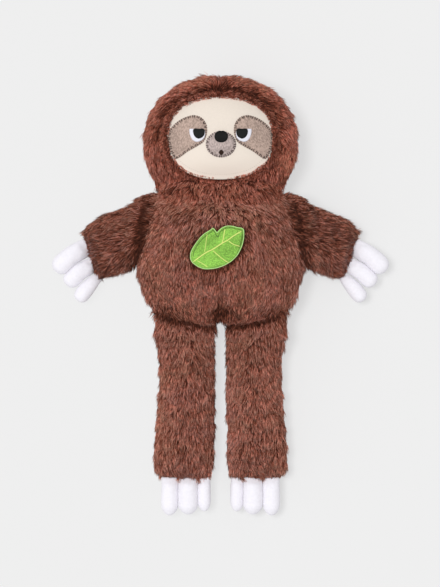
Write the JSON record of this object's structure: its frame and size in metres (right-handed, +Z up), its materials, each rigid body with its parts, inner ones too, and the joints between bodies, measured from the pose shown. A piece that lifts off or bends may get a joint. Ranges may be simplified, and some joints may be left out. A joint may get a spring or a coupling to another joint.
{
  "type": "plush sloth",
  "caption": "Soft stuffed sloth lying on its back, with a long-pile hood round a cream face, felt claws and a leaf patch; head, limbs and claws turn on their seams.",
  "frame": {"origin": "middle of the bottom of the bounding box, on the surface that the toy lies on", "axes": "+X the toy's own left side, +Y towards the head, +Z up out of the belly"},
  "size_m": [0.2866, 0.372, 0.0844],
  "materials": {
    "fur_cloth": "matte",
    "stuffing": "matte",
    "face_cloth": "matte",
    "patch_cloth": "matte",
    "muzzle_cloth": "matte",
    "black_thread": "matte",
    "white_thread": "matte",
    "brown_thread": "matte",
    "claw_felt": "matte",
    "leaf_felt": "matte",
    "leaf_thread": "matte"
  },
  "bodies": {
    "torso": {"torso_front_panel": "fur_cloth", "torso_back_panel": "fur_cloth", "torso_stuffing": "stuffing", "leaf_patch": "leaf_felt", "leaf_border": "leaf_thread", "leaf_veins": "leaf_thread", "neck_seam": "brown_thread", "shoulder_seam_left": "brown_thread", "shoulder_seam_right": "brown_thread", "hip_seam_left": "brown_thread", "hip_seam_right": "brown_thread"},
    "head": {"head_front_panel": "fur_cloth", "head_back_panel": "fur_cloth", "head_stuffing": "stuffing", "face_panel": "face_cloth", "eye_patch_left": "patch_cloth", "eye_patch_right": "patch_cloth", "eye_white_left": "white_thread", "eye_white_right": "white_thread", "pupil_left": "black_thread", "pupil_right": "black_thread", "muzzle_patch": "muzzle_cloth", "nose_patch": "black_thread", "mouth_patch": "brown_thread"},
    "arm_left": {"arm_left_front_panel": "fur_cloth", "arm_left_back_panel": "fur_cloth", "arm_left_stuffing": "stuffing"},
    "leg_left": {"leg_left_front_panel": "fur_cloth", "leg_left_back_panel": "fur_cloth", "leg_left_stuffing": "stuffing"},
    "hand_claw_left_upper": {"hand_claw_left_upper": "claw_felt"},
    "hand_claw_left_middle": {"hand_claw_left_middle": "claw_felt"},
    "hand_claw_left_lower": {"hand_claw_left_lower": "claw_felt"},
    "foot_claw_left_outer": {"foot_claw_left_outer": "claw_felt"},
    "foot_claw_left_middle": {"foot_claw_left_middle": "claw_felt"},
    "foot_claw_left_inner": {"foot_claw_left_inner": "claw_felt"},
    "arm_right": {"arm_right_front_panel": "fur_cloth", "arm_right_back_panel": "fur_cloth", "arm_right_stuffing": "stuffing"},
    "leg_right": {"leg_right_front_panel": "fur_cloth", "leg_right_back_panel": "fur_cloth", "leg_right_stuffing": "stuffing"},
    "hand_claw_right_upper": {"hand_claw_right_upper": "claw_felt"},
    "hand_claw_right_middle": {"hand_claw_right_middle": "claw_felt"},
    "hand_claw_right_lower": {"hand_claw_right_lower": "claw_felt"},
    "foot_claw_right_outer": {"foot_claw_right_outer": "claw_felt"},
    "foot_claw_right_middle": {"foot_claw_right_middle": "claw_felt"},
    "foot_claw_right_inner": {"foot_claw_right_inner": "claw_felt"}
  },
  "joints": [
    {"name": "neck_nod", "type": "hinge", "parent": "torso", "child": "head", "pos_m": [0, 0.088, 0.038], "axis": [1, 0, 0], "range_deg": [-20, 20], "stiffness_Nm_per_rad": 0.05},
    {"name": "shoulder_left", "type": "hinge", "parent": "torso", "child": "arm_left", "pos_m": [0.06425, 0.056, 0.038], "axis": [0.2195, -0.9756, 0], "range_deg": [-25, 70], "stiffness_Nm_per_rad": 0.03},
    {"name": "hip_left", "type": "hinge", "parent": "torso", "child": "leg_left", "pos_m": [0.0285, -0.0219, 0.032], "axis": [-1, 0, 0], "range_deg": [-35, 75], "stiffness_Nm_per_rad": 0.03},
    {"name": "hand_claw_left_upper_bend", "type": "hinge", "parent": "arm_left", "child": "hand_claw_left_upper", "pos_m": [0.1148, 0.0455, 0.0185], "axis": [-0.6903, -0.7235, 0], "range_deg": [-30, 30], "stiffness_Nm_per_rad": 0.002},
    {"name": "hand_claw_left_middle_bend", "type": "hinge", "parent": "arm_left", "child": "hand_claw_left_middle", "pos_m": [0.1092, 0.03, 0.0185], "axis": [-0.6906, -0.7232, 0], "range_deg": [-30, 30], "stiffness_Nm_per_rad": 0.002},
    {"name": "hand_claw_left_lower_bend", "type": "hinge", "parent": "arm_left", "child": "hand_claw_left_lower", "pos_m": [0.1043, 0.0172, 0.0185], "axis": [-0.7798, -0.626, 0], "range_deg": [-30, 30], "stiffness_Nm_per_rad": 0.002},
    {"name": "foot_claw_left_outer_bend", "type": "hinge", "parent": "leg_left", "child": "foot_claw_left_outer", "pos_m": [0.0432, -0.1552, 0.018], "axis": [-1, -0.0062, 0], "range_deg": [-30, 30], "stiffness_Nm_per_rad": 0.002},
    {"name": "foot_claw_left_middle_bend", "type": "hinge", "parent": "leg_left", "child": "foot_claw_left_middle", "pos_m": [0.0277, -0.1552, 0.018], "axis": [-1, 0.0032, 0], "range_deg": [-30, 30], "stiffness_Nm_per_rad": 0.002},
    {"name": "foot_claw_left_inner_bend", "type": "hinge", "parent": "leg_left", "child": "foot_claw_left_inner", "pos_m": [0.014, -0.1552, 0.018], "axis": [-1, 0.0035, 0], "range_deg": [-30, 30], "stiffness_Nm_per_rad": 0.002},
    {"name": "shoulder_right", "type": "hinge", "parent": "torso", "child": "arm_right", "pos_m": [-0.06425, 0.056, 0.038], "axis": [0.2195, 0.9756, 0], "range_deg": [-25, 70], "stiffness_Nm_per_rad": 0.03},
    {"name": "hip_right", "type": "hinge", "parent": "torso", "child": "leg_right", "pos_m": [-0.0285, -0.0219, 0.032], "axis": [-1, 0, 0], "range_deg": [-35, 75], "stiffness_Nm_per_rad": 0.03},
    {"name": "hand_claw_right_upper_bend", "type": "hinge", "parent": "arm_right", "child": "hand_claw_right_upper", "pos_m": [-0.1148, 0.0455, 0.0185], "axis": [-0.6903, 0.7235, 0], "range_deg": [-30, 30], "stiffness_Nm_per_rad": 0.002},
    {"name": "hand_claw_right_middle_bend", "type": "hinge", "parent": "arm_right", "child": "hand_claw_right_middle", "pos_m": [-0.1092, 0.03, 0.0185], "axis": [-0.6906, 0.7232, 0], "range_deg": [-30, 30], "stiffness_Nm_per_rad": 0.002},
    {"name": "hand_claw_right_lower_bend", "type": "hinge", "parent": "arm_right", "child": "hand_claw_right_lower", "pos_m": [-0.1043, 0.0172, 0.0185], "axis": [-0.7798, 0.626, 0], "range_deg": [-30, 30], "stiffness_Nm_per_rad": 0.002},
    {"name": "foot_claw_right_outer_bend", "type": "hinge", "parent": "leg_right", "child": "foot_claw_right_outer", "pos_m": [-0.0432, -0.1552, 0.018], "axis": [-1, 0.0062, 0], "range_deg": [-30, 30], "stiffness_Nm_per_rad": 0.002},
    {"name": "foot_claw_right_middle_bend", "type": "hinge", "parent": "leg_right", "child": "foot_claw_right_middle", "pos_m": [-0.0277, -0.1552, 0.018], "axis": [-1, -0.0032, 0], "range_deg": [-30, 30], "stiffness_Nm_per_rad": 0.002},
    {"name": "foot_claw_right_inner_bend", "type": "hinge", "parent": "leg_right", "child": "foot_claw_right_inner", "pos_m": [-0.014, -0.1552, 0.018], "axis": [-1, -0.0035, 0], "range_deg": [-30, 30], "stiffness_Nm_per_rad": 0.002}
  ]
}
